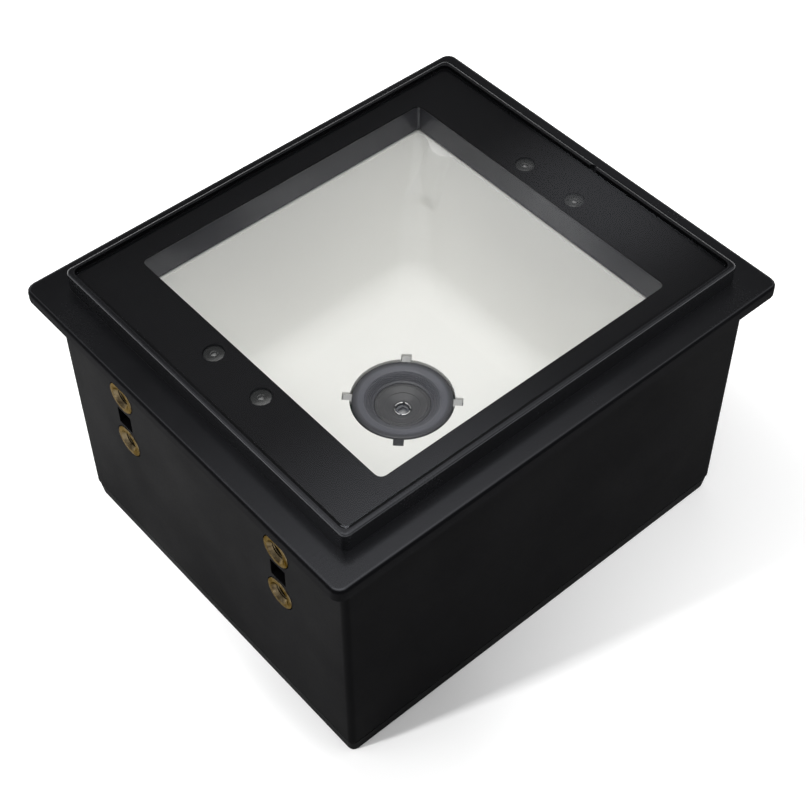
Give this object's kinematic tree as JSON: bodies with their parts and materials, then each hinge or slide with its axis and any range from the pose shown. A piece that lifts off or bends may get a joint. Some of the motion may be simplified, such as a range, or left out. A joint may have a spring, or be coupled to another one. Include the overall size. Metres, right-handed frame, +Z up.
{
  "type": "fixed barcode reader",
  "caption": "Panel-mounted fixed barcode reader: flanged black box with a glass window over a white light tunnel and camera, threaded side inserts and a modular socket.",
  "frame": {"origin": "centre of the underside of the bottom cover", "axes": "+Z up through the window, +X along the long side, +Y towards the wall with the socket"},
  "size_m": [0.079, 0.0682, 0.0485],
  "materials": {
    "black_plastic": "finely grained black moulding",
    "clear_glass": "clear polished glass",
    "print_black": "black print under the glass",
    "white_plastic": "matte white moulding",
    "brass": "turned brass",
    "grey_plastic": "dark grey moulding",
    "lens_glass": "coated lens",
    "lamp_resin": "smoked resin",
    "board_green": "solder mask",
    "chip_black": "moulded package",
    "led_white": "white lamp package",
    "steel": "plated steel",
    "gold": "gold plating"
  },
  "bodies": {
    "root": {"front_bezel": "black_plastic", "cover_glass": "clear_glass", "glass_mask": "print_black", "housing_shell": "black_plastic", "bottom_cover": "black_plastic", "light_reflector": "white_plastic", "lens_bezel": "grey_plastic", "lens_holder": "grey_plastic", "lens_barrel": "grey_plastic", "front_lens": "lens_glass", "camera_board": "board_green", "main_board": "board_green", "image_sensor": "chip_black", "processor": "chip_black", "board_link": "chip_black", "buzzer": "chip_black", "interface_socket": "chip_black", "insert_1": "brass", "insert_2": "brass", "insert_3": "brass", "insert_4": "brass", "insert_5": "brass", "insert_6": "brass", "insert_7": "brass", "insert_8": "brass", "light_led_1": "led_white", "light_led_2": "led_white", "light_led_3": "led_white", "light_led_4": "led_white", "sensor_board_1": "board_green", "sensor_board_2": "board_green", "sensor_lamp_1": "lamp_resin", "sensor_lamp_2": "lamp_resin", "sensor_lamp_3": "lamp_resin", "sensor_lamp_4": "lamp_resin", "socket_contact_1": "gold", "socket_contact_2": "gold", "socket_contact_3": "gold", "socket_contact_4": "gold", "socket_contact_5": "gold", "socket_contact_6": "gold", "socket_contact_7": "gold", "socket_contact_8": "gold", "case_screw_1": "steel", "case_screw_2": "steel", "case_screw_3": "steel", "case_screw_4": "steel", "board_screw_1": "steel", "board_screw_2": "steel", "board_screw_3": "steel", "board_screw_4": "steel", "reflector_screw_1": "steel", "reflector_screw_2": "steel", "reflector_screw_3": "steel", "reflector_screw_4": "steel", "camera_screw_1": "steel", "camera_screw_2": "steel"}
  },
  "joints": []
}
